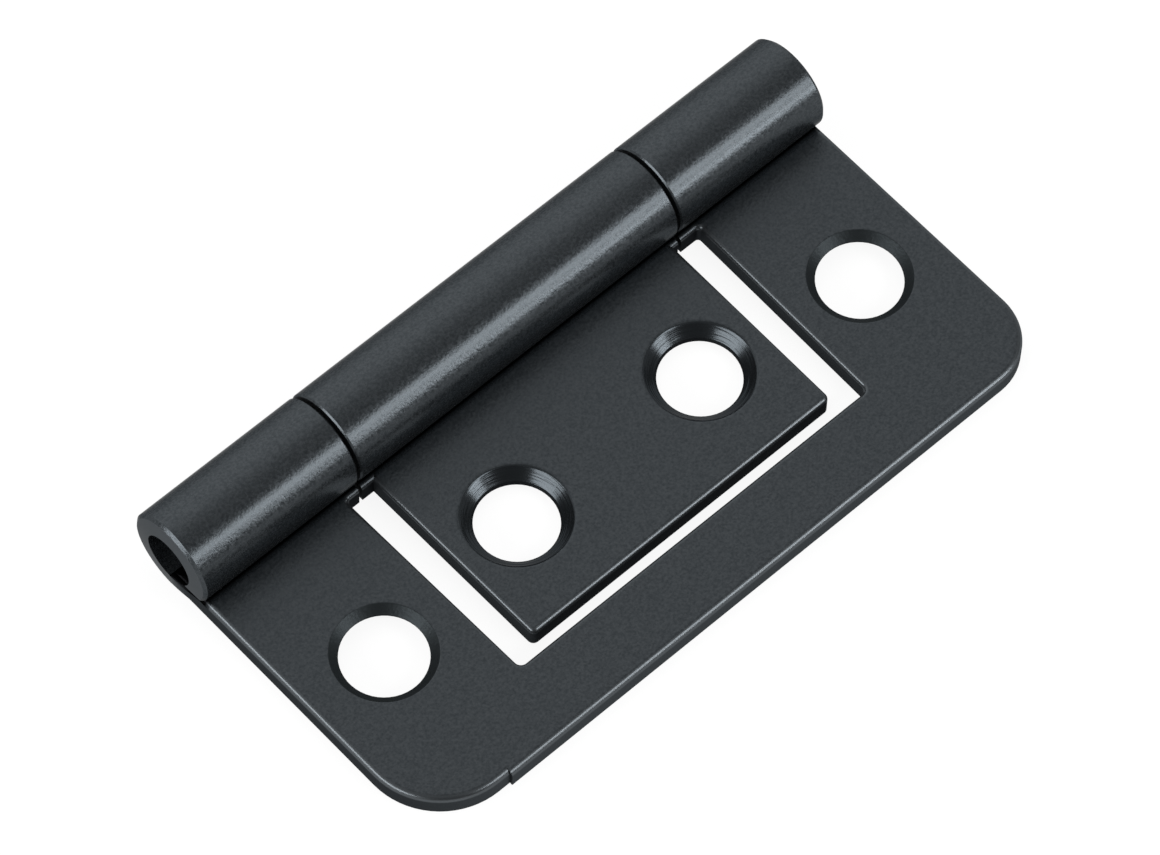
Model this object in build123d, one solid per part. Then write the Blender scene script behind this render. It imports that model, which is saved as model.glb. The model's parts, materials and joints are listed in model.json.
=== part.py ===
from build123d import *
import math
import os

# Flush hinge, closed. Millimetres.
# X runs along the pin. The leaves reach forward, towards -Y, with their backs on Z = 0,
# and their knuckles are rolled up and over the pin. Each piece is drawn from the pin line
# and then moved so that the origin lies under the middle of the closed hinge.

# Sheet, pin and barrel
SHEET = 1.5             # thickness of both leaves
PIN_DIAMETER = 3.6
PIN_CLEARANCE = 0.04    # radial, between the pin and the bore
REAM = 0.14             # radial, taken from the inside of the roll when the bore was reamed
PIN_SETBACK = 1.5       # pin end behind the outer leaf's side edge
PIN_CHAMFER = 0.25

# Outlines, seen from above
LENGTH = 50.0           # along the pin, over the outer leaf's side edges
INNER_REACH = 17.35     # pin line to the inner leaf's front edge
FRONT_GAP = 1.07        # inner leaf's front edge to the window
FRONT_RAIL = 4.95       # outer leaf's bar in front of the window
INNER_WIDTH = 24.44     # inner leaf's plate at the back of the slots
INNER_TAPER = 0.45      # degrees that each side of that plate closes in towards the front
SLOT_GAP = 2.14         # slot beside the inner leaf, at its back
WINDOW_TAPER = 1.0      # degrees that each side of the window closes in towards the front
PUNCH_SHIFT = 0.24      # the window and the inner plate sit this far off centre, to +X
SLOT_LEDGE = 0.05       # plate left between the barrel and the back of the slots
SLOT_CORNER = 0.25      # rounding of the window's back corners
WINDOW_CORNER = 0.45    # rounding of the window's front corners
INNER_CORNER = 0.42     # rounding of the inner leaf's front corners
LEFT_CORNER = 5.2       # outer leaf's front corner at -X
RIGHT_CORNER = 4.0      # outer leaf's front corner at +X
TRIM_STEP = 0.21        # the left corner was trimmed this much short of the front edge
TRIM_RUN = 6.05         # from the left side edge to that step
EDGE_ROUND = 0.34       # rolled-over upper edge that the punch left on the inner leaf and the window
OUTLINE_ROUND = 0.42    # the same on the outer leaf's outline, which is worn more

# Knuckles
SHOULDER = 0.78         # inner plate's side to the middle of the knuckle joint beside it
JOINT_GAP = 0.25        # end play at each joint
TIP_GAP = 0.2           # outer corner of the rolled tip above the plate
TIP_ANGLE = 12.0        # degrees that the tip's cut end opens towards the bore
END_PROUD = 0.17        # the barrel's ends stand this far past the side edges
END_SWELL = 0.12        # and the tight bend swells this much more, at the bore
JOINT_RIM = 0.1         # broken edge round a knuckle end at a joint
END_RIM = 0.2           # broken edge round the barrel's two ends

# Screw holes
OUTER_HOLE = 5.48
OUTER_HOLE_INSET = 0.3  # each outer hole sits this far inwards of the middle of its side arm
OUTER_HOLE_SHIFT = 0.14 # the pair's middle sits this far off centre, to +X
OUTER_HOLE_REACH = 12.39
INNER_HOLE = 5.3
INNER_HOLE_INSET = 4.75 # each inner hole's middle to its side of the plate, at the slots' back
INNER_HOLE_REACH = 10.79
SINK_WIDTH = 0.75       # countersink's ring round the throat, on the screw's side
SINK_ANGLE = 90.0       # included angle of the countersink
SINK_LIP = 0.35         # rounded lip of a countersink on the upper face
THROAT_WIDTH = 0.1      # ring of the steep throat that leads from the countersink to the hole
THROAT_DEPTH = 0.17     # that throat's own depth
LAND = 0.08             # straight wall between the throat and the mouth on the other side
MOUTH_WIDTH = 0.58      # ring of the mouth that the punch drew in, on the other side
MOUTH_LIP = 0.15        # rounded lip of such a mouth on the upper face

# Derived from the values above
BORE_RADIUS = PIN_DIAMETER / 2 + PIN_CLEARANCE
ROLL_RADIUS = BORE_RADIUS - REAM
BARREL_RADIUS = ROLL_RADIUS + SHEET
SLOT_BACK = BARREL_RADIUS + SLOT_LEDGE
WINDOW_REACH = INNER_REACH + FRONT_GAP
OUTER_REACH = WINDOW_REACH + FRONT_RAIL
WINDOW_WIDTH = INNER_WIDTH + 2 * SLOT_GAP
JOINT_SPACING = INNER_WIDTH + 2 * SHOULDER
INNER_KNUCKLE = JOINT_SPACING - JOINT_GAP
KNUCKLE_BAY = JOINT_SPACING + JOINT_GAP
OUTER_HOLE_SPACING = (WINDOW_WIDTH + LENGTH) / 2 - 2 * OUTER_HOLE_INSET
INNER_HOLE_SPACING = INNER_WIDTH - 2 * INNER_HOLE_INSET
SINK_DEPTH = SINK_WIDTH / math.tan(math.radians(SINK_ANGLE / 2))
PIN_LINE_Y = (OUTER_REACH - BARREL_RADIUS) / 2

SAME = 1e-4             # places closer than this count as one, for picking edges


def tongue(knuckle, width, taper, reach, back_corner, front_corner):
    """Outline of a plate that steps in or out in front of its knuckle, from the pin line forwards."""
    half = knuckle / 2
    run = (reach - SLOT_BACK) * math.tan(math.radians(taper))
    left = PUNCH_SHIFT - width / 2
    right = PUNCH_SHIFT + width / 2
    step = min(abs(half - right), abs(half + left))
    corner = min(back_corner, 0.9 * step)
    points = [
        (half, 0), (-half, 0), (-half, -SLOT_BACK), (left, -SLOT_BACK),
        (left + run, -reach), (right - run, -reach), (right, -SLOT_BACK), (half, -SLOT_BACK),
    ]
    radii = [0, 0, 0, corner, front_corner, front_corner, corner, 0]
    return make_face(FilletPolyline(*points, radius=radii, close=True))


def corner_plate(side, inside, reach, corner):
    """Half of the outer leaf's outline: from its side edge to a cut line, with one round corner."""
    points = [(inside, 0), (side, 0), (side, -reach), (inside, -reach)]
    return make_face(FilletPolyline(*points, radius=[0, 0, corner, 0], close=True))


def rolled_edges(plate, rounding, is_cut=lambda middle: True):
    """Plate with its upper edges rolled over, in front of the barrel and where the punch cut them."""
    top = plate.faces().sort_by(Axis.Z)[-1]

    def is_rolled(edge):
        middle = edge.center()
        return middle.Y < -SLOT_BACK + SAME and is_cut(middle)

    return fillet(top.edges().filter_by(is_rolled), rounding)


def rolled_section():
    """Section of a rolled knuckle: from under the pin the sheet bends round behind it and over to its tip."""
    tip_z = SHEET + TIP_GAP
    tip_y = -math.sqrt(BARREL_RADIUS**2 - (BARREL_RADIUS - tip_z) ** 2)
    slope = math.tan(math.radians(TIP_ANGLE))
    # The cut end is a straight line from the tip to the roll's inside: z = tip_z + slope * (y - tip_y).
    drop = tip_z - slope * tip_y - BARREL_RADIUS
    a = 1 + slope**2
    b = 2 * slope * drop
    c = drop**2 - ROLL_RADIUS**2
    heel_y = (-b - math.sqrt(b * b - 4 * a * c)) / (2 * a)
    heel_z = tip_z + slope * (heel_y - tip_y)
    outside = ThreePointArc((0, 0), (BARREL_RADIUS, BARREL_RADIUS), (tip_y, tip_z))
    cut_end = Line((tip_y, tip_z), (heel_y, heel_z))
    inside = ThreePointArc((heel_y, heel_z), (ROLL_RADIUS, BARREL_RADIUS), (0, SHEET))
    start = Line((0, SHEET), (0, 0))
    return Plane.YZ * make_face(Curve() + [outside, cut_end, inside, start])


def end_trim(end, swell, rim):
    """Ring that trims a knuckle end at +X to a slightly coned face with a broken outer edge."""
    outside = 2 * BARREL_RADIUS
    beyond = end + swell + SHEET
    points = [
        (end + swell, ROLL_RADIUS), (end, BARREL_RADIUS - rim), (end - rim, BARREL_RADIUS),
        (end - rim, outside), (beyond, outside), (beyond, ROLL_RADIUS),
    ]
    ring = revolve(make_face(Polyline(*points, close=True)), Axis.X)
    return Pos(0, 0, BARREL_RADIUS) * ring


def inner_knuckle():
    """Middle knuckle, with both its ends at a joint."""
    half = INNER_KNUCKLE / 2
    trim = end_trim(half, 0, JOINT_RIM)
    return extrude(rolled_section(), half, both=True) - trim - mirror(trim, Plane.YZ)


def right_knuckle():
    """Knuckle from the right joint to the barrel's end, a little past the side edge."""
    start = KNUCKLE_BAY / 2
    end = LENGTH / 2 + END_PROUD
    roll = Pos(start, 0, 0) * extrude(rolled_section(), end + END_SWELL - start)
    return roll - end_trim(end, END_SWELL, END_RIM) - mirror(end_trim(-start, 0, JOINT_RIM), Plane.YZ)


def reamed(leaf):
    """Leaf with the bore for the pin through its knuckles."""
    return leaf - Pos(0, 0, BARREL_RADIUS) * Cylinder(BORE_RADIUS, 2 * LENGTH, rotation=(0, 90, 0))


def screw_hole(diameter, sink_on_top):
    """Cutter for one screw hole, with its countersink on the upper or the lower face."""
    radius = diameter / 2
    throat = radius + THROAT_WIDTH
    sink_foot = SHEET - SINK_DEPTH
    throat_foot = sink_foot - THROAT_DEPTH
    profile = Polyline(
        (0, 0), (radius + MOUTH_WIDTH, 0), (radius, throat_foot - LAND), (radius, throat_foot),
        (throat, sink_foot), (throat + SINK_WIDTH, SHEET), (0, SHEET), close=True,
    )
    cutter = revolve(Plane.XZ * make_face(profile), Axis.Z)
    if sink_on_top:
        return cutter
    return mirror(cutter, Plane.XY.offset(SHEET / 2))


def drilled(leaf, diameter, spacing, shift, reach, sink_on_top):
    """Leaf with a pair of screw holes in a row along the pin, and a rounded lip on each from above."""
    for side in (-1, 1):
        leaf -= Pos(shift + side * spacing / 2, -reach, 0) * screw_hole(diameter, sink_on_top)
    ring, lip = (THROAT_WIDTH + SINK_WIDTH, SINK_LIP) if sink_on_top else (MOUTH_WIDTH, MOUTH_LIP)

    def is_lip(edge):
        return edge.center().Z > SHEET - SAME and abs(edge.radius - diameter / 2 - ring) < SAME

    return fillet(leaf.edges().filter_by(GeomType.CIRCLE).filter_by(is_lip), lip)


def make_outer_leaf():
    """Outer leaf: window plate with a knuckle at each end, countersunk from its back."""
    side = LENGTH / 2
    cut_line = TRIM_RUN - side
    window = tongue(KNUCKLE_BAY, WINDOW_WIDTH, WINDOW_TAPER, WINDOW_REACH, SLOT_CORNER, WINDOW_CORNER)
    window += Pos(0, SHEET / 2) * Rectangle(KNUCKLE_BAY, SHEET)
    arm = extrude(corner_plate(-side, cut_line, OUTER_REACH - TRIM_STEP, LEFT_CORNER), SHEET)
    body = extrude(corner_plate(side, cut_line, OUTER_REACH, RIGHT_CORNER), SHEET)

    def off_cut_line(middle):
        return abs(middle.X - cut_line) > SAME

    def in_window(middle):
        return abs(middle.X - PUNCH_SHIFT) < WINDOW_WIDTH / 2 + SAME and middle.Y > -WINDOW_REACH - SAME

    leaf = rolled_edges(arm, OUTLINE_ROUND, off_cut_line) + rolled_edges(body, OUTLINE_ROUND, off_cut_line)
    leaf = rolled_edges(leaf - extrude(window, SHEET), EDGE_ROUND, in_window)
    leaf += right_knuckle()
    leaf += mirror(right_knuckle(), Plane.YZ)
    return drilled(reamed(leaf), OUTER_HOLE, OUTER_HOLE_SPACING, OUTER_HOLE_SHIFT, OUTER_HOLE_REACH, False)


def make_inner_leaf():
    """Inner leaf: plate that nests in the window, with the middle knuckle, countersunk from above."""
    plate = tongue(INNER_KNUCKLE, INNER_WIDTH, INNER_TAPER, INNER_REACH, 0, INNER_CORNER)
    leaf = rolled_edges(extrude(plate, SHEET), EDGE_ROUND)
    leaf += inner_knuckle()
    return drilled(reamed(leaf), INNER_HOLE, INNER_HOLE_SPACING, PUNCH_SHIFT, INNER_HOLE_REACH, True)


def make_hinge_pin():
    """Plain headless pin, set back inside the outer knuckles."""
    pin = Cylinder(PIN_DIAMETER / 2, LENGTH - 2 * PIN_SETBACK, rotation=(0, 90, 0))
    pin = chamfer(pin.edges().filter_by(GeomType.CIRCLE), PIN_CHAMFER)
    return Pos(0, 0, BARREL_RADIUS) * pin


PIECES = {
    "outer_leaf": make_outer_leaf,
    "inner_leaf": make_inner_leaf,
    "hinge_pin": make_hinge_pin,
}

os.makedirs("parts", exist_ok=True)
for name, make in PIECES.items():
    piece = Pos(0, PIN_LINE_Y, 0) * make()
    piece.label = name
    export_step(piece, f"parts/{name}.step")
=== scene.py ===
"""Closed flush hinge on a pale studio floor: its finishes, the light and the camera.

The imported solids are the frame. Both leaves are black coated sheet steel and the pin is drawn steel,
so every node keeps its own shape, and its finish is worked out from its sizes. Two small pieces are
added: at each end of the barrel, the sheet's end runs out from the plate's side to the knuckle's end.
"""

import json
import logging
import math
from dataclasses import dataclass
from enum import Enum
from typing import Any

import bpy
import numpy as np
from mathutils import Matrix, Quaternion, Vector


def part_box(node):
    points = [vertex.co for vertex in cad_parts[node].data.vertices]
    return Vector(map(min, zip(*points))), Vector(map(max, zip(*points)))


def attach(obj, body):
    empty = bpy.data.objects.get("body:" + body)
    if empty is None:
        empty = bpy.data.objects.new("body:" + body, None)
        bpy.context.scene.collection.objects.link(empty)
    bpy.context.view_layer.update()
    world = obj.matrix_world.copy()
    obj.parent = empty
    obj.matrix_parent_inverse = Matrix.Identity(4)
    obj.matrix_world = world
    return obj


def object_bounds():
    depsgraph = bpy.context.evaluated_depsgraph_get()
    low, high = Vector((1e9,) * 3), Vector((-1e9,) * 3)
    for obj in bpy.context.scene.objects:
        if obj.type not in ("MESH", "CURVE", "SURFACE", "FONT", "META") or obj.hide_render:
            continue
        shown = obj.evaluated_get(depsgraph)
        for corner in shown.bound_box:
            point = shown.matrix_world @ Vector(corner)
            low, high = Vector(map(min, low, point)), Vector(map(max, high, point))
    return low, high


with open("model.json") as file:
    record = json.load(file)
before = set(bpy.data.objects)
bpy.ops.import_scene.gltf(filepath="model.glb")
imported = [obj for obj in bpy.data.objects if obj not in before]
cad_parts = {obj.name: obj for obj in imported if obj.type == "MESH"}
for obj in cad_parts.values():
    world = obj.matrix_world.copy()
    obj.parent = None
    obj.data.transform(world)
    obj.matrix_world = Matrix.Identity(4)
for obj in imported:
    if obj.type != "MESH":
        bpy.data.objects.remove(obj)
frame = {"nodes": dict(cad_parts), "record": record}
CAD_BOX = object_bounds()

LOG = logging.getLogger("flush_hinge")
MM = 0.001

Colour = tuple[float, float, float, float]
Socket = bpy.types.NodeSocket


class Face(Enum):
    """The face of a leaf that its countersinks open to, as the sign of that face's normal along Z."""

    UPPER = 1.0
    LOWER = -1.0


def linear(hex_colour: str) -> Colour:
    """Turn an sRGB hex colour into a linear one.

    Args:
        hex_colour: The colour as "#rrggbb".

    Returns:
        Linear red, green and blue, with an alpha of 1.
    """
    srgb = np.array([int(hex_colour[i : i + 2], 16) for i in (1, 3, 5)]) / 255
    rgb = np.where(srgb <= 0.04045, srgb / 12.92, ((srgb + 0.055) / 1.055) ** 2.4)
    return (*rgb.tolist(), 1.0)


def add_node(
    tree: bpy.types.NodeTree,
    kind: str,
    settings: dict[str, Any] | None = None,
    inputs: dict[str | int, Any] | None = None,
) -> bpy.types.Node:
    """Add one node to a tree.

    Args:
        tree: The node tree that takes it.
        kind: Blender's name of the node.
        settings: Properties of the node itself.
        inputs: Values or links for its sockets, by name or by place.

    Returns:
        The new node.
    """
    node = tree.nodes.new(kind)
    for name, value in (settings or {}).items():
        setattr(node, name, value)
    for key, value in (inputs or {}).items():
        if isinstance(value, bpy.types.NodeSocket):
            tree.links.new(value, node.inputs[key])
        else:
            node.inputs[key].default_value = value
    return node


def empty_tree(owner: bpy.types.Material | bpy.types.World) -> bpy.types.NodeTree:
    """Give a material or the world an empty node tree and return it."""
    owner.use_nodes = True
    owner.node_tree.nodes.clear()
    return owner.node_tree


@dataclass(frozen=True)
class ScrewRow:
    """Two screw holes in a row along the pin, in millimetres."""

    middle_x: float
    middle_y: float
    spacing: float
    radius: float
    sink_face: Face

    @classmethod
    def from_record(cls, mount: str, sink_face: Face) -> "ScrewRow":
        """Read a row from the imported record.

        Args:
            mount: The name of the row's mount.
            sink_face: The face that its countersinks open to.

        Returns:
            The row, in millimetres.
        """
        entry = next(m for m in frame["record"]["mounts"] if m["name"] == mount)
        dims = entry["dims"]
        return cls(
            middle_x=entry["pos_m"][0] / MM,
            middle_y=entry["pos_m"][1] / MM,
            spacing=dims["spacing_x_mm"],
            radius=dims["hole_r_mm"],
            sink_face=sink_face,
        )


@dataclass(frozen=True)
class Window:
    """Outline of the outer leaf's window, in millimetres."""

    middle_x: float
    half_width: float
    front_y: float

    @classmethod
    def round_leaf(cls, node: str, side_gap: float = 2.6, front_gap: float = 1.3) -> "Window":
        """Take the window from the leaf that nests in it.

        Args:
            node: That leaf's node.
            side_gap: How far the window may reach past the leaf's widest part, on each side.
            front_gap: The same at its front.

        Returns:
            The window's outline.
        """
        low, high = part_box(node)
        return cls(
            middle_x=(low.x + high.x) / 2 / MM,
            half_width=(high.x - low.x) / 2 / MM + side_gap,
            front_y=low.y / MM - front_gap,
        )


@dataclass(frozen=True)
class Barrel:
    """Where the rolled barrel meets the plate, in millimetres."""

    front_y: float      # foremost line of the barrel
    pin_y: float        # line of the pin, where the flat sheet begins to roll
    seam_y: float       # line along which the eye loses the plate under the barrel
    seam_z: float       # height of the plate's upper face there

    @classmethod
    def above_plate(
        cls, node: str, radius: float = 3.2, sheet: float = 1.5, overhang: float = 0.35
    ) -> "Barrel":
        """Take the barrel from a leaf that is rolled round it.

        Args:
            node: That leaf's node.
            radius: The barrel's radius.
            sheet: The thickness of the leaf.
            overhang: How far the barrel bulges out over the seam.

        Returns:
            The barrel's lines.
        """
        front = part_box(node)[1].y / MM - 2 * radius
        return cls(front_y=front, pin_y=front + radius, seam_y=front + overhang, seam_z=sheet)


@dataclass(frozen=True)
class Surface:
    """Where a leaf's surface lies, in millimetres, and which way it faces."""

    x: Socket
    y: Socket
    z: Socket
    along: Socket       # how far it faces along the pin, from 0 to 1
    level: Socket       # how far it faces up or down, from 0 to 1
    tilt: Socket        # how far it faces the countersinks' side, from -1 to 1
    reach: Socket       # distance from the nearest hole's axis


@dataclass(frozen=True)
class Regions:
    """Masks of the parts of a leaf's surface that wear the coat differently, each from 0 to 1."""

    worn_and_highlight: Socket        # rolled edges and knuckle ends, lighter: partly rubbed coat, partly painted highlight
    side: Socket        # sheared sides of the sheet
    slot: Socket        # painted shade on those sides: most where they face each other across the slots
    sink: Socket        # countersinks
    mouth: Socket       # mouths of the holes on the other face, darkened by painted shade
    well: Socket        # walls of the screw holes, darkened by painted shade
    seam: Socket        # painted shade in the crevice where the barrel meets the plate
    barrel: Socket      # rolled knuckles


@dataclass(frozen=True)
class BlackenedSteel:
    """Stamped sheet steel, blackened by a thin satin coat.

    The coat has hardly any body colour, so the eye sees a dark, slightly blue shine. A fine grain breaks it
    up, the rings that a tool turned in the countersinks show through it, and the sheared sides are duller.
    Its colour is lighter along the rolled edges and the knuckle ends, partly rubbed coat and partly painted
    highlight, and painted shade darkens the slots, the holes' walls and mouths, and, nearly black, the seam
    under the barrel.
    """

    colour: str = "#373b3e"
    grain_colour: str = "#474b4e"
    # lighter on rolled edges and knuckle ends: partly rubbed coat, partly painted highlight
    worn_and_highlight_colour: str = "#505457"
    sink_colour: str = "#393d40"
    # painted shade in the mouths of the holes on the other face
    mouth_shade_colour: str = "#2f3335"
    side_colour: str = "#3f4346"
    # painted shade on the cut sides across the slots and on the screw holes' walls
    recess_shade_colour: str = "#1d1f21"
    # nearly black painted shade in the seam under the barrel
    seam_shade_colour: str = "#070708"
    shine: float = 0.85               # share of the surface that shines like bare metal; the rest is matt
    edge_tint: str = "#b3b3b3"        # the coat takes away half of the shine at a low angle
    roughness: float = 0.38
    roughness_spread: float = 0.12
    barrel_roughness: float = 0.27    # the rolling tool burnished the knuckles
    worn_roughness: float = 0.30
    sink_roughness: float = 0.22
    side_roughness: float = 0.60
    mouth_roughness: float = 0.45
    well_roughness: float = 0.50
    grain_mm: float = 0.18            # the real grain is finer, and is drawn as coarse as it needs to show
    grain_contrast: float = 2.4
    grain_height_mm: float = 0.008
    barrel_grain: float = 0.5         # share of that height that the rolling tool left on the knuckles
    ring_mm: float = 0.12             # turned rings, drawn about twice as coarse as a real tool leaves them
    ring_height_mm: float = 0.022
    ring_breaks: float = 0.9          # how often a ring changes round its circle
    hole_ring_mm: float = 1.15        # reach of a hole's countersink or mouth round its throat
    seam_mm: float = 0.45             # width of the painted shade's dark line in the crevice, which fades out on the plate
    seam_lift_mm: float = 0.1         # how far it reaches above the plate
    seam_drop_mm: float = 0.4         # how far it reaches down the plate's rolled edge
    sheet_fade_mm: float = 1.6        # length in which the plate's side turns into the knuckle's end
    left_shade: float = 0.55          # how much painted shade darkens the open sides along Y against the front one
    slot_shade: float = 0.6           # painted shade on the slots' long sides, against their short ones
    shear_mm: float = 0.14            # spacing of the lines that the punch drew down the sheet's sides
    shear_length_mm: float = 1.2
    shear_height_mm: float = 0.012
    grain_detail: float = 2.0         # how many times over the noise repeats itself at half the size
    grain_falloff: float = 0.6        # how strong each repeat is against the one before
    ring_detail: float = 1.0          # the same count for the turned rings
    upright_level: tuple[float, float] = (0.25, 0.05)   # level at which a cut side starts, and is whole
    bent_level: tuple[float, float] = (0.985, 0.92)     # the same for a rolled edge
    end_facing: float = 0.9           # along, past which a surface is an end face
    sheet_facing: float = 0.1         # along, past which it can be the sheet's side or rolled edge
    cone_tilt: float = 0.73           # tilt in the middle of a countersink's cone and its lip
    cone_band: float = 0.19           # how far the tilt goes from there
    wall_level: float = 0.53          # level, under which a surface near a hole is its wall

    def material(self, name: str, screws: ScrewRow, barrel: Barrel, window: Window) -> bpy.types.Material:
        """Make the finish for one leaf.

        Args:
            name: The material's name.
            screws: The leaf's own screw holes.
            barrel: The barrel that its knuckles are part of.
            window: The outer leaf's window.

        Returns:
            The material.
        """
        material = bpy.data.materials.new(name)
        tree = empty_tree(material)
        coords = add_node(tree, "ShaderNodeTexCoord")
        place = add_node(
            tree, "ShaderNodeVectorMath", {"operation": "SCALE"},
            {0: coords.outputs["Object"], "Scale": 1 / MM},
        ).outputs[0]
        reach, rings = self.turned_rings(tree, place, screws)
        surface = self.surface(tree, place, coords.outputs["Normal"], reach, screws)
        regions = self.regions(tree, surface, screws, barrel, window)
        grain = self.noise(tree, place, (1 / self.grain_mm,) * 3)
        shear = self.noise(
            tree, place, (1 / self.shear_mm, 1 / self.shear_mm, 1 / self.shear_length_mm)
        )
        rubbed = add_node(
            tree, "ShaderNodeMath", {"operation": "MAXIMUM"}, {0: regions.sink, 1: regions.worn_and_highlight}
        )
        unrubbed = add_node(
            tree, "ShaderNodeMath", {"operation": "SUBTRACT"}, {0: 1.0, 1: rubbed.outputs[0]}
        )
        unrolled = add_node(
            tree, "ShaderNodeMapRange",
            inputs={"Value": regions.barrel, "To Min": 1.0, "To Max": self.barrel_grain},
        )
        grained = self.product(tree, unrubbed.outputs[0], unrolled.outputs[0])
        shader = add_node(
            tree, "ShaderNodeBsdfPrincipled",
            inputs={
                "Base Color": self.tone(tree, grain, regions),
                "Metallic": self.shine,
                "Specular IOR Level": 0.0,
                "Specular Tint": linear(self.edge_tint),
                "Roughness": self.gloss(tree, grain, regions),
                "Normal": self.relief(tree, [
                    (grain, grained, self.grain_height_mm),
                    (rings, regions.sink, self.ring_height_mm),
                    (shear, regions.side, self.shear_height_mm),
                ]),
            },
        )
        add_node(tree, "ShaderNodeOutputMaterial", inputs={"Surface": shader.outputs["BSDF"]})
        return material

    def noise(
        self, tree: bpy.types.NodeTree, place: Socket, per_mm: tuple[float, float, float]
    ) -> Socket:
        """Noise with its own count per millimetre along each axis, spread over the range from 0 to 1.

        Args:
            tree: The material's tree.
            place: Position in millimetres.
            per_mm: Features per millimetre along X, Y and Z.

        Returns:
            The noise, from 0 to 1.
        """
        scaled = add_node(
            tree, "ShaderNodeVectorMath", {"operation": "MULTIPLY"}, {0: place, 1: per_mm}
        )
        noise = add_node(
            tree, "ShaderNodeTexNoise",
            inputs={
                "Vector": scaled.outputs[0], "Scale": 1.0,
                "Detail": self.grain_detail, "Roughness": self.grain_falloff,
            },
        )
        half = 0.5 / self.grain_contrast
        return add_node(
            tree, "ShaderNodeMapRange",
            inputs={"Value": noise.outputs[0], "From Min": 0.5 - half, "From Max": 0.5 + half},
        ).outputs[0]

    def product(self, tree: bpy.types.NodeTree, *masks: Socket) -> Socket:
        """Product of several masks: 1 where all of them are 1.

        Args:
            tree: The material's tree.
            masks: The masks, each from 0 to 1.

        Returns:
            The mask of what they share.
        """
        shared = masks[0]
        for mask in masks[1:]:
            shared = add_node(
                tree, "ShaderNodeMath", {"operation": "MULTIPLY"}, {0: shared, 1: mask}
            ).outputs[0]
        return shared

    def surface(
        self, tree: bpy.types.NodeTree, place: Socket, normal: Socket, reach: Socket, screws: ScrewRow
    ) -> Surface:
        """Split a leaf's surface into where it lies and which way it faces.

        Args:
            tree: The material's tree.
            place: Position in millimetres.
            normal: The surface's direction.
            reach: Distance from the nearest hole's axis, in millimetres.
            screws: The leaf's screw holes.

        Returns:
            The surface.
        """
        at = add_node(tree, "ShaderNodeSeparateXYZ", inputs={0: place}).outputs
        facing = add_node(tree, "ShaderNodeSeparateXYZ", inputs={0: normal}).outputs
        along, level = (
            add_node(tree, "ShaderNodeMath", {"operation": "ABSOLUTE"}, {0: facing[axis]}).outputs[0]
            for axis in ("X", "Z")
        )
        tilt = add_node(
            tree, "ShaderNodeMath", {"operation": "MULTIPLY"}, {0: facing["Z"], 1: screws.sink_face.value}
        ).outputs[0]
        return Surface(at["X"], at["Y"], at["Z"], along, level, tilt, reach)

    def regions(
        self, tree: bpy.types.NodeTree, on: Surface, screws: ScrewRow, barrel: Barrel, window: Window
    ) -> Regions:
        """Find the regions of a leaf from where its surface lies and which way it faces.

        Args:
            tree: The material's tree.
            on: The leaf's surface.
            screws: The leaf's screw holes.
            barrel: The barrel that its knuckles are part of.
            window: The outer leaf's window.

        Returns:
            The masks.
        """
        hole_edge = screws.radius + self.hole_ring_mm
        ahead, behind, near, far = (
            add_node(tree, "ShaderNodeMath", {"operation": operation}, {0: value, 1: limit}).outputs[0]
            for value, limit in ((on.y, barrel.front_y), (on.reach, hole_edge))
            for operation in ("LESS_THAN", "GREATER_THAN")
        )
        upright, bent = (
            add_node(
                tree, "ShaderNodeMapRange", inputs={"Value": on.level, "From Min": none, "From Max": full}
            ).outputs[0]
            for none, full in (self.upright_level, self.bent_level)
        )
        coned, drawn_in = (
            add_node(
                tree, "ShaderNodeMath", {"operation": "COMPARE"}, {0: on.tilt, 1: tilt, 2: self.cone_band}
            ).outputs[0]
            for tilt in (self.cone_tilt, -self.cone_tilt)
        )
        steep = add_node(
            tree, "ShaderNodeMath", {"operation": "LESS_THAN"}, {0: on.level, 1: self.wall_level}
        ).outputs[0]
        end = add_node(
            tree, "ShaderNodeMath", {"operation": "GREATER_THAN"}, {0: on.along, 1: self.end_facing}
        ).outputs[0]
        before_pin = add_node(
            tree, "ShaderNodeMapRange",
            inputs={"Value": on.y, "From Min": barrel.pin_y, "From Max": barrel.pin_y - self.sheet_fade_mm},
        ).outputs[0]
        plate = add_node(
            tree, "ShaderNodeMath", {"operation": "MAXIMUM"},
            {0: ahead, 1: self.product(tree, self.sheet_end(tree, on, barrel), before_pin)},
        ).outputs[0]
        rolled = add_node(tree, "ShaderNodeMath", {"operation": "SUBTRACT"}, {0: 1.0, 1: plate}).outputs[0]
        # lighter rolled edges and knuckle ends: partly rubbed coat, partly painted highlight
        worn_and_highlight = add_node(
            tree, "ShaderNodeMath", {"operation": "MAXIMUM"},
            {0: self.product(tree, bent, ahead, far), 1: self.product(tree, end, rolled)},
        ).outputs[0]
        side = self.product(tree, upright, plate, far)
        return Regions(
            worn_and_highlight=worn_and_highlight,
            side=side,
            # painted shade on the cut sides, darkest across the slots
            slot=self.product(tree, side, self.side_shade(tree, on, window)),
            sink=self.product(tree, coned, near),
            mouth=self.product(tree, drawn_in, near),
            well=self.product(tree, steep, near),
            # painted shade in the seam under the barrel
            seam=self.seam_shade_mask(tree, on, barrel, before_pin),
            barrel=behind,
        )

    def sheet_end(self, tree: bpy.types.NodeTree, on: Surface, barrel: Barrel) -> Socket:
        """Mask of the flat sheet's side and rolled edge, under the barrel too.

        Args:
            tree: The material's tree.
            on: The leaf's surface.
            barrel: The barrel over the sheet.

        Returns:
            The mask: 1 where the surface turns sideways and lies no higher than the plate.
        """
        sideways = add_node(
            tree, "ShaderNodeMath", {"operation": "GREATER_THAN"}, {0: on.along, 1: self.sheet_facing}
        ).outputs[0]
        flat = add_node(
            tree, "ShaderNodeMath", {"operation": "LESS_THAN"},
            {0: on.z, 1: barrel.seam_z + self.seam_lift_mm},
        ).outputs[0]
        return self.product(tree, sideways, flat)

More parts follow.
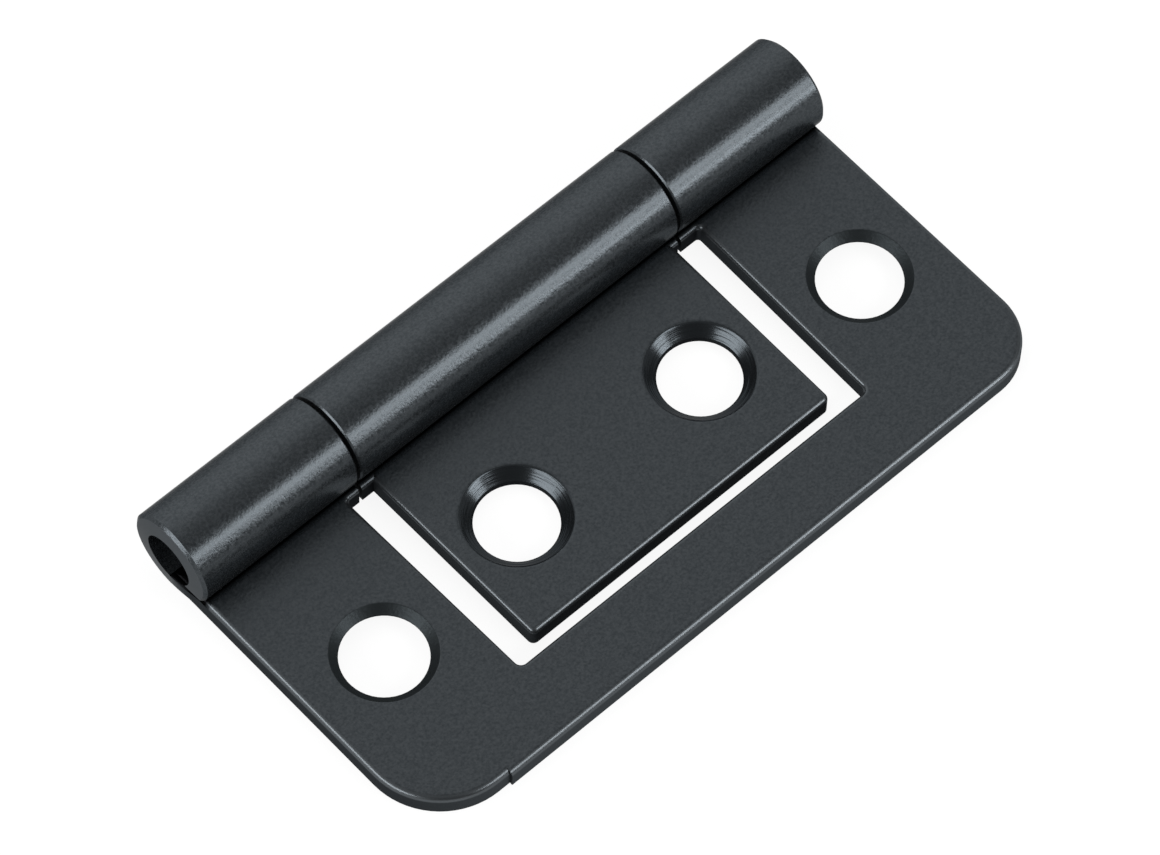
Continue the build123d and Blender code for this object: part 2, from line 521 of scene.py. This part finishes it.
    def side_shade(self, tree: bpy.types.NodeTree, on: Surface, window: Window) -> Socket:
        """How much painted shade a cut side takes, from 0 to 1: most in the window, where the sides face
        each other.

        Args:
            tree: The material's tree.
            on: The leaf's surface.
            window: The outer leaf's window.

        Returns:
            The shade.
        """
        across = add_node(
            tree, "ShaderNodeMath", {"operation": "COMPARE"},
            {0: on.x, 1: window.middle_x, 2: window.half_width},
        ).outputs[0]
        within = add_node(
            tree, "ShaderNodeMath", {"operation": "GREATER_THAN"}, {0: on.y, 1: window.front_y}
        ).outputs[0]
        open_shade = add_node(
            tree, "ShaderNodeMath", {"operation": "MULTIPLY"}, {0: on.along, 1: self.left_shade}
        ).outputs[0]
        slot_shade = add_node(
            tree, "ShaderNodeMapRange", inputs={"Value": on.along, "To Min": 1.0, "To Max": self.slot_shade}
        ).outputs[0]
        return add_node(
            tree, "ShaderNodeMix", {"data_type": "FLOAT"},
            {0: self.product(tree, across, within), 2: open_shade, 3: slot_shade},
        ).outputs[0]

    def seam_shade_mask(
        self, tree: bpy.types.NodeTree, on: Surface, barrel: Barrel, before_pin: Socket
    ) -> Socket:
        """Mask of the painted shade in the crevice between the barrel and the plate, which ends at the pin.

        Args:
            tree: The material's tree.
            on: The leaf's surface.
            barrel: The barrel over the crevice.
            before_pin: Mask that fades out along the sheet's end, towards the pin.

        Returns:
            The mask.
        """
        deep = add_node(
            tree, "ShaderNodeMapRange",
            inputs={"Value": on.y, "From Min": barrel.seam_y - self.seam_mm, "From Max": barrel.seam_y},
        ).outputs[0]
        middle = barrel.seam_z + (self.seam_lift_mm - self.seam_drop_mm) / 2
        half_height = (self.seam_lift_mm + self.seam_drop_mm) / 2
        low = add_node(
            tree, "ShaderNodeMath", {"operation": "COMPARE"}, {0: on.z, 1: middle, 2: half_height}
        ).outputs[0]
        short_of_pin, off_end = (
            add_node(tree, "ShaderNodeMath", {"operation": "LESS_THAN"}, {0: value, 1: limit}).outputs[0]
            for value, limit in ((on.y, barrel.pin_y), (on.along, self.end_facing))
        )
        under = add_node(
            tree, "ShaderNodeMath", {"operation": "MAXIMUM"},
            {0: before_pin, 1: self.product(tree, short_of_pin, off_end)},
        ).outputs[0]
        return self.product(tree, deep, low, under)

    def turned_rings(
        self, tree: bpy.types.NodeTree, place: Socket, screws: ScrewRow
    ) -> tuple[Socket, Socket]:
        """Rings that the tool turned in the countersinks, by the distance from the nearest hole's axis.

        Args:
            tree: The material's tree.
            place: Position in millimetres.
            screws: The leaf's screw holes.

        Returns:
            The distance from the axis in millimetres, and the height of the rings, from 0 to 1.
        """
        centred = add_node(
            tree, "ShaderNodeVectorMath", {"operation": "SUBTRACT"},
            {0: place, 1: (screws.middle_x, screws.middle_y, 0)},
        )
        axes = add_node(tree, "ShaderNodeSeparateXYZ", inputs={0: centred.outputs[0]})
        mirrored = add_node(tree, "ShaderNodeMath", {"operation": "ABSOLUTE"}, {0: axes.outputs["X"]})
        across = add_node(
            tree, "ShaderNodeMath", {"operation": "SUBTRACT"},
            {0: mirrored.outputs[0], 1: screws.spacing / 2},
        )
        offset = add_node(
            tree, "ShaderNodeCombineXYZ", inputs={"X": across.outputs[0], "Y": axes.outputs["Y"]}
        )
        reach = add_node(
            tree, "ShaderNodeVectorMath", {"operation": "LENGTH"}, {0: offset.outputs[0]}
        ).outputs["Value"]
        round_hole = add_node(
            tree, "ShaderNodeVectorMath", {"operation": "NORMALIZE"}, {0: offset.outputs[0]}
        )
        lap = add_node(
            tree, "ShaderNodeVectorMath", {"operation": "SCALE"},
            {0: round_hole.outputs[0], "Scale": self.ring_breaks},
        )
        step = add_node(
            tree, "ShaderNodeMath", {"operation": "DIVIDE"}, {0: reach, 1: self.ring_mm}
        )
        depth = add_node(tree, "ShaderNodeCombineXYZ", inputs={"Z": step.outputs[0]})
        path = add_node(
            tree, "ShaderNodeVectorMath", {"operation": "ADD"}, {0: lap.outputs[0], 1: depth.outputs[0]}
        )
        rings = add_node(
            tree, "ShaderNodeTexNoise",
            inputs={"Vector": path.outputs[0], "Scale": 1.0, "Detail": self.ring_detail},
        ).outputs[0]
        return reach, rings

    def tone(self, tree: bpy.types.NodeTree, grain: Socket, regions: Regions) -> Socket:
        """Colour: the coat with its grain, then each region that differs, one over the other, with painted
        highlight on the rolled edges and painted shade in the hole mouths, hole walls, slots and seam.

        Args:
            tree: The material's tree.
            grain: Noise of the grain.
            regions: The leaf's regions.

        Returns:
            The colour.
        """
        shown: Socket | Colour = linear(self.colour)
        # the worn colour is partly a painted highlight; the mouth, well, slot and seam colours are painted
        # shade
        for mask, colour in (
            (grain, self.grain_colour), (regions.worn_and_highlight, self.worn_and_highlight_colour),
            (regions.sink, self.sink_colour), (regions.mouth, self.mouth_shade_colour),
            (regions.well, self.recess_shade_colour), (regions.side, self.side_colour),
            (regions.slot, self.recess_shade_colour), (regions.seam, self.seam_shade_colour),
        ):
            shown = add_node(
                tree, "ShaderNodeMix", {"data_type": "RGBA"}, {0: mask, 6: shown, 7: linear(colour)}
            ).outputs[2]
        return shown

    def gloss(self, tree: bpy.types.NodeTree, grain: Socket, regions: Regions) -> Socket:
        """Roughness: satin with the grain in it, smoother in the countersinks, dull on the cut sides.

        Args:
            tree: The material's tree.
            grain: Noise of the grain.
            regions: The leaf's regions.

        Returns:
            The roughness.
        """
        satin = add_node(
            tree, "ShaderNodeMix", {"data_type": "FLOAT"},
            {0: regions.barrel, 2: self.roughness, 3: self.barrel_roughness},
        )
        ripple = add_node(
            tree, "ShaderNodeMath", {"operation": "MULTIPLY_ADD"},
            {0: grain, 1: self.roughness_spread, 2: -self.roughness_spread / 2},
        )
        shown = add_node(
            tree, "ShaderNodeMath", {"operation": "ADD"}, {0: satin.outputs[0], 1: ripple.outputs[0]}
        ).outputs[0]
        for mask, roughness in (
            (regions.worn_and_highlight, self.worn_roughness), (regions.side, self.side_roughness),
            (regions.sink, self.sink_roughness), (regions.mouth, self.mouth_roughness),
            (regions.well, self.well_roughness),
        ):
            shown = add_node(
                tree, "ShaderNodeMix", {"data_type": "FLOAT"}, {0: mask, 2: shown, 3: roughness}
            ).outputs[0]
        return shown

    def relief(self, tree: bpy.types.NodeTree, layers: list[tuple[Socket, Socket, float]]) -> Socket:
        """Bump from several layers, each a pattern times its height, kept to its mask.

        Args:
            tree: The material's tree.
            layers: Pattern, mask and height in millimetres.

        Returns:
            The bumped normal.
        """
        total: Socket | float = 0.0
        for pattern, mask, height in layers:
            shown = self.product(tree, pattern, mask)
            total = add_node(
                tree, "ShaderNodeMath", {"operation": "MULTIPLY_ADD"}, {0: shown, 1: height, 2: total}
            ).outputs[0]
        return add_node(
            tree, "ShaderNodeBump", inputs={"Strength": 1.0, "Distance": MM, "Height": total}
        ).outputs[0]


@dataclass(frozen=True)
class DrawnSteel:
    """Bright drawn steel.

    The eye sees a clean grey metal, with fine lines along the wire from the die that it was pulled through.
    """

    colour: str = "#8f9193"
    roughness: float = 0.30
    roughness_spread: float = 0.16
    line_mm: float = 0.12         # the real lines are finer, and are drawn as coarse as they need to show
    line_length_mm: float = 9.0
    line_height_mm: float = 0.004
    line_detail: float = 2.0      # how many times over the noise repeats itself at half the size

    def material(self, name: str) -> bpy.types.Material:
        """Make the steel.

        Args:
            name: The material's name.

        Returns:
            The material.
        """
        material = bpy.data.materials.new(name)
        tree = empty_tree(material)
        coords = add_node(tree, "ShaderNodeTexCoord")
        stretched = add_node(
            tree, "ShaderNodeVectorMath", {"operation": "MULTIPLY"},
            {
                0: coords.outputs["Object"],
                1: (1 / MM / self.line_length_mm, 1 / MM / self.line_mm, 1 / MM / self.line_mm),
            },
        )
        lines = add_node(
            tree, "ShaderNodeTexNoise",
            inputs={"Vector": stretched.outputs[0], "Scale": 1.0, "Detail": self.line_detail},
        ).outputs[0]
        gloss = add_node(
            tree, "ShaderNodeMapRange",
            inputs={
                "Value": lines,
                "To Min": self.roughness - self.roughness_spread / 2,
                "To Max": self.roughness + self.roughness_spread / 2,
            },
        )
        bump = add_node(
            tree, "ShaderNodeBump",
            inputs={"Strength": 1.0, "Distance": self.line_height_mm * MM, "Height": lines},
        )
        shader = add_node(
            tree, "ShaderNodeBsdfPrincipled",
            inputs={
                "Base Color": linear(self.colour), "Metallic": 1.0,
                "Roughness": gloss.outputs[0], "Normal": bump.outputs[0],
            },
        )
        add_node(tree, "ShaderNodeOutputMaterial", inputs={"Surface": shader.outputs["BSDF"]})
        return material


@dataclass
class Leaf:
    """One leaf of the hinge: a punched plate with its knuckles rolled over the pin."""

    node: str
    screws: ScrewRow
    finish: BlackenedSteel
    window: Window

    def dress(self) -> bpy.types.Material:
        """Give the leaf its finish and return it."""
        name = f"blackened_stamped_steel_{self.node}"
        material = self.finish.material(name, self.screws, Barrel.above_plate(self.node), self.window)
        assign(self.node, material)
        return material


@dataclass
class SheetEnd:
    """End of the outer leaf's sheet under one end of the barrel, in millimetres.

    It runs out from the plate's side to the knuckle's end, which stands a little proud of that side.
    """

    name: str
    towards: float              # the end of the pin that it lies at: -1 is the left one, 1 the right one
    barrel: Barrel
    finish: bpy.types.Material
    half_length: float = 25.0   # the plate's side, from the middle of the hinge
    proud: float = 0.17         # how far the knuckle's end stands out past it
    rim: float = 0.2            # bevel round that end
    swell: float = 0.092        # how much further out the end's cone comes, for each millimetre up
    edge_round: float = 0.42    # rolled upper edge of the plate's side
    low: float = 0.01           # its underside, just above the plate's back
    high: float = 1.36          # underside of the bore
    crest: float = 0.12         # rounding of its own upper edge
    sunk: float = 0.02          # how far it starts under the plate's surface
    root: float = 24.4          # its inner face, inside the plate
    steps: tuple[int, int] = (32, 24)   # points along Y and up Z

    def build(self) -> None:
        """Make the piece and fix it to the outer leaf."""
        mesh = bpy.data.meshes.new(self.name)
        points, quads, caps = self.surface()
        mesh.from_pydata((points * MM).tolist(), [], quads.tolist() + caps.tolist())
        smooth = np.arange(len(quads) + len(caps)) < len(quads)
        mesh.polygons.foreach_set("use_smooth", smooth)
        mesh.materials.append(self.finish)
        piece = bpy.data.objects.new(self.name, mesh)
        bpy.context.scene.collection.objects.link(piece)
        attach(piece, "outer")
        LOG.info("%s made", self.name)

    def surface(self) -> tuple[np.ndarray, np.ndarray, np.ndarray]:
        """Carry the plate's side over into the knuckle's end, along Y.

        At height z, the plate's side stands at the half length, drawn in by the circle of its rolled edge.
        The knuckle's end stands proud of the half length, less the bevel below the rim and plus the cone's
        swell above it. With t from 0 at the seam to 1 at the pin, x goes (3 - 2 t) t^2 of the way from the
        one to the other, less the quarter circle of the crest.

        Returns:
            The points, the quads round the piece and its two end caps.
        """
        t, z = np.meshgrid(
            np.linspace(0, 1, self.steps[0]), np.linspace(self.low, self.high, self.steps[1]), indexing="ij"
        )
        over = np.clip(z - (self.barrel.seam_z - self.edge_round), 0, self.edge_round)
        side = self.half_length - self.sunk - self.edge_round + np.sqrt(self.edge_round**2 - over**2)
        above = z - self.rim
        end = self.half_length + self.proud + np.where(above < 0, above, above * self.swell)
        bend = np.clip((z - self.high) / self.crest + 1, 0, 1)
        x = side + (3 - 2 * t) * t**2 * (end - side) - self.crest * (1 - np.sqrt(1 - bend**2))
        y = self.barrel.seam_y + t * (self.barrel.pin_y - self.barrel.seam_y)
        outer = np.stack([x, y, z], axis=2)
        inner = outer[:, [-1, 0]]
        inner[:, :, 0] = self.root
        ring = np.concatenate([outer, inner], axis=1) * (self.towards, 1, 1)
        index = np.arange(ring.shape[0] * ring.shape[1]).reshape(ring.shape[:2])
        beside = np.roll(index, -1, axis=1)
        quads = np.stack([index[:-1], index[1:], beside[1:], beside[:-1]], axis=2).reshape(-1, 4)
        caps = np.stack([index[0], index[-1, ::-1]])
        outwards = int(self.towards)
        return ring.reshape(-1, 3), quads[:, ::outwards], caps[:, ::outwards]


@dataclass
class HingePin:
    """The hinge's plain pin."""

    steel: DrawnSteel
    node: str = "hinge_pin"

    def dress(self) -> None:
        """Give the pin its steel."""
        assign(self.node, self.steel.material("bright_drawn_steel"))


def assign(node: str, material: bpy.types.Material) -> None:
    """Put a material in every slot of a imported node.

    Args:
        node: The node's name.
        material: The finish it takes.
    """
    piece = frame["nodes"][node]
    for slot in piece.material_slots:
        slot.material = material
    LOG.info("%s wears %s", node, material.name)


@dataclass
class Softbox:
    """Soft lamp that looks at the hinge from one side."""

    name: str
    azimuth: float      # degrees from +X towards +Y
    elevation: float    # degrees
    width: float        # metres
    height: float
    radiance: float
    distance: float = 0.6
    roll: float = 0.0   # degrees about its own axis

    def build(self) -> None:
        """Make the lamp, as bright all over as its radiance says."""
        light = bpy.data.lights.new(self.name, "AREA")
        light.shape = "RECTANGLE"
        light.size, light.size_y = self.width, self.height
        light.energy = self.radiance * math.pi * self.width * self.height
        lamp = bpy.data.objects.new(self.name, light)
        a, e = math.radians(self.azimuth), math.radians(self.elevation)
        towards = Vector((math.cos(a) * math.cos(e), math.sin(a) * math.cos(e), math.sin(e)))
        lamp.location = towards * self.distance
        lamp.rotation_mode = "QUATERNION"
        turned = Quaternion((0, 0, 1), math.radians(self.roll))
        lamp.rotation_quaternion = towards.to_track_quat("Z", "Y") @ turned
        lamp.visible_camera = False
        bpy.context.scene.collection.objects.link(lamp)
        LOG.info("%s at %.0f, %.0f degrees", self.name, self.azimuth, self.elevation)


@dataclass
class Studio:
    """Pale floor, soft dome and softboxes."""

    lamps: tuple[Softbox, ...] = (
        Softbox("softbox_front", azimuth=-67, elevation=36.5, width=0.34, height=0.14, radiance=7.5),
        Softbox(
            "strip_front_low", azimuth=-59, elevation=18.5, width=0.24, height=0.08, radiance=14.0,
            roll=-20,
        ),
        Softbox("softbox_left", azimuth=174, elevation=23, width=0.56, height=0.18, radiance=7.6),
    )
    floor_radius: float = 4.0
    floor_sides: int = 64
    floor_drop: float = 0.00002       # keeps the floor just clear of the leaves' backs
    floor_shade: str = "#f2f2f2"
    floor_glow: float = 0.89          # share of its white that the floor keeps in the hinge's shadow
    floor_shadow: float = 0.15        # share that the light gives
    brightest: tuple[float, float, float] = (0.30, 0.85, 0.43)    # way to the dome's brightest side
    # Brightness of the dome against the cosine of the angle from its brightest side.
    dome: tuple[tuple[float, float], ...] = (
        (-0.475, 0.10), (0.24, 0.42), (0.53, 0.60), (0.774, 1.05), (0.95, 1.35), (1.0, 1.35),
    )
    horizon: float = 0.85             # brightness of the pale horizon
    horizon_full: float = 0.14 / 3    # sine of the height up to which the pale horizon is whole
    horizon_reach: float = 0.14       # sine of the height at which it has faded

    def build(self) -> None:
        """Make the floor, the dome and the lamps."""
        self.lay_floor()
        self.light_dome()
        for lamp in self.lamps:
            lamp.build()

    def lay_floor(self) -> None:
        """Flat round floor: a point at radius r and angle t stands at (r cos t, r sin t), at one height."""
        angle = np.linspace(0, 2 * math.pi, self.floor_sides, endpoint=False)
        rim = np.stack([np.cos(angle), np.sin(angle), np.zeros_like(angle)], axis=1) * self.floor_radius
        rim[:, 2] = CAD_BOX[0].z - self.floor_drop
        mesh = bpy.data.meshes.new("floor")
        mesh.from_pydata(rim.tolist(), [], [list(range(len(rim)))])
        mesh.materials.append(self.floor_paint())
        floor = bpy.data.objects.new("floor", mesh)
        bpy.context.scene.collection.objects.link(floor)
        LOG.info("floor laid")

    def floor_paint(self) -> bpy.types.Material:
        """White paper that stays near white to the eye and in reflections, and still takes the shadow."""
        material = bpy.data.materials.new("white_paper_floor")
        tree = empty_tree(material)
        path = add_node(tree, "ShaderNodeLightPath")
        seen = add_node(
            tree, "ShaderNodeMath", {"operation": "MAXIMUM"},
            {0: path.outputs["Is Camera Ray"], 1: path.outputs["Is Glossy Ray"]},
        )
        seen = add_node(
            tree, "ShaderNodeMath", {"operation": "MAXIMUM"},
            {0: seen.outputs[0], 1: path.outputs["Is Transmission Ray"]},
        )
        paper = add_node(tree, "ShaderNodeBsdfDiffuse", inputs={"Color": linear(self.floor_shade)})
        share = self.floor_shadow
        shaded = add_node(tree, "ShaderNodeBsdfDiffuse", inputs={"Color": (share, share, share, 1)})
        glow = add_node(tree, "ShaderNodeEmission", inputs={"Strength": self.floor_glow})
        bright = add_node(
            tree, "ShaderNodeAddShader", inputs={0: shaded.outputs[0], 1: glow.outputs[0]}
        )
        mixed = add_node(
            tree, "ShaderNodeMixShader",
            inputs={0: seen.outputs[0], 1: paper.outputs[0], 2: bright.outputs[0]},
        )
        add_node(tree, "ShaderNodeOutputMaterial", inputs={"Surface": mixed.outputs[0]})
        return material

    def light_dome(self) -> None:
        """Soft dome, bright behind the hinge, dark on the camera's side, pale all round the horizon."""
        world = bpy.data.worlds.new("studio_dome")
        bpy.context.scene.world = world
        tree = empty_tree(world)
        coords = add_node(tree, "ShaderNodeTexCoord")
        side = Vector(self.brightest).normalized()
        towards = add_node(
            tree, "ShaderNodeVectorMath", {"operation": "DOT_PRODUCT"},
            {0: coords.outputs["Generated"], 1: tuple(side)},
        )
        span = add_node(
            tree, "ShaderNodeMapRange",
            inputs={"Value": towards.outputs["Value"], "From Min": -1.0, "From Max": 1.0},
        )
        ramp = add_node(tree, "ShaderNodeValToRGB", inputs={0: span.outputs[0]})
        stops = ramp.color_ramp.elements
        for cosine, _ in self.dome[2:]:
            stops.new((cosine + 1) / 2)
        for stop, (cosine, level) in zip(stops, self.dome):
            stop.position = (cosine + 1) / 2
            stop.color = (level, level, level, 1)
        axes = add_node(tree, "ShaderNodeSeparateXYZ", inputs={0: coords.outputs["Generated"]})
        low = add_node(
            tree, "ShaderNodeMapRange", {"interpolation_type": "SMOOTHSTEP"},
            {
                "Value": axes.outputs["Z"], "From Min": self.horizon_full,
                "From Max": self.horizon_reach, "To Min": self.horizon, "To Max": 0.0,
            },
        )
        level = add_node(
            tree, "ShaderNodeMath", {"operation": "MAXIMUM"}, {0: ramp.outputs[0], 1: low.outputs[0]}
        )
        glow = add_node(tree, "ShaderNodeBackground", inputs={"Color": level.outputs[0], "Strength": 1.0})
        add_node(tree, "ShaderNodeOutputWorld", inputs={"Surface": glow.outputs[0]})
        LOG.info("dome lit")


@dataclass
class PhotoCamera:
    """Camera at the photograph's viewing angle. Angles in degrees, lengths in millimetres."""

    lens: float = 211.66
    sensor: float = 36.0
    azimuth: float = 44.3625
    elevation: float = 60.6549
    roll: float = 2.2828
    distance: float = 411.81
    target: tuple[float, float, float] = (0.2195, 1.837, 0.0)
    clip: tuple[float, float] = (0.01, 100.0)     # metres

    def build(self) -> None:
        """Make the camera: it looks at the target from its distance, rolled about its own axis."""
        a, e, r = (math.radians(x) for x in (self.azimuth, self.elevation, self.roll))
        back = Vector((-math.sin(a) * math.cos(e), -math.cos(a) * math.cos(e), math.sin(e)))
        level = Vector((math.cos(a), -math.sin(a), 0.0))
        above = back.cross(level)
        right = math.cos(r) * level + math.sin(r) * above
        up = math.cos(r) * above - math.sin(r) * level
        data = bpy.data.cameras.new("photo_camera")
        data.sensor_width, data.sensor_fit, data.lens = self.sensor, "HORIZONTAL", self.lens
        data.clip_start, data.clip_end = self.clip
        camera = bpy.data.objects.new("photo_camera", data)
        place = (Vector(self.target) + back * self.distance) * MM
        turned = Matrix((right, up, back)).transposed().to_4x4()
        camera.matrix_world = Matrix.Translation(place) @ turned
        bpy.context.scene.collection.objects.link(camera)
        bpy.context.scene.camera = camera
        LOG.info("camera set")


def main() -> None:
    """Build the camera and the studio, dress the hinge and add the ends of its sheet."""
    logging.basicConfig(level=logging.INFO, format="%(name)s: %(message)s")
    bpy.context.scene.view_settings.view_transform = "Standard"
    PhotoCamera().build()
    Studio().build()
    black = BlackenedSteel()
    window = Window.round_leaf("inner_leaf")
    outer = Leaf("outer_leaf", ScrewRow.from_record("outer_screws", Face.LOWER), black, window).dress()
    Leaf("inner_leaf", ScrewRow.from_record("inner_screws", Face.UPPER), black, window).dress()
    HingePin(DrawnSteel()).dress()
    for name, towards in (("left_sheet_end", -1.0), ("right_sheet_end", 1.0)):
        SheetEnd(name, towards, Barrel.above_plate("outer_leaf"), outer).build()


if __name__ == "__main__":
    main()
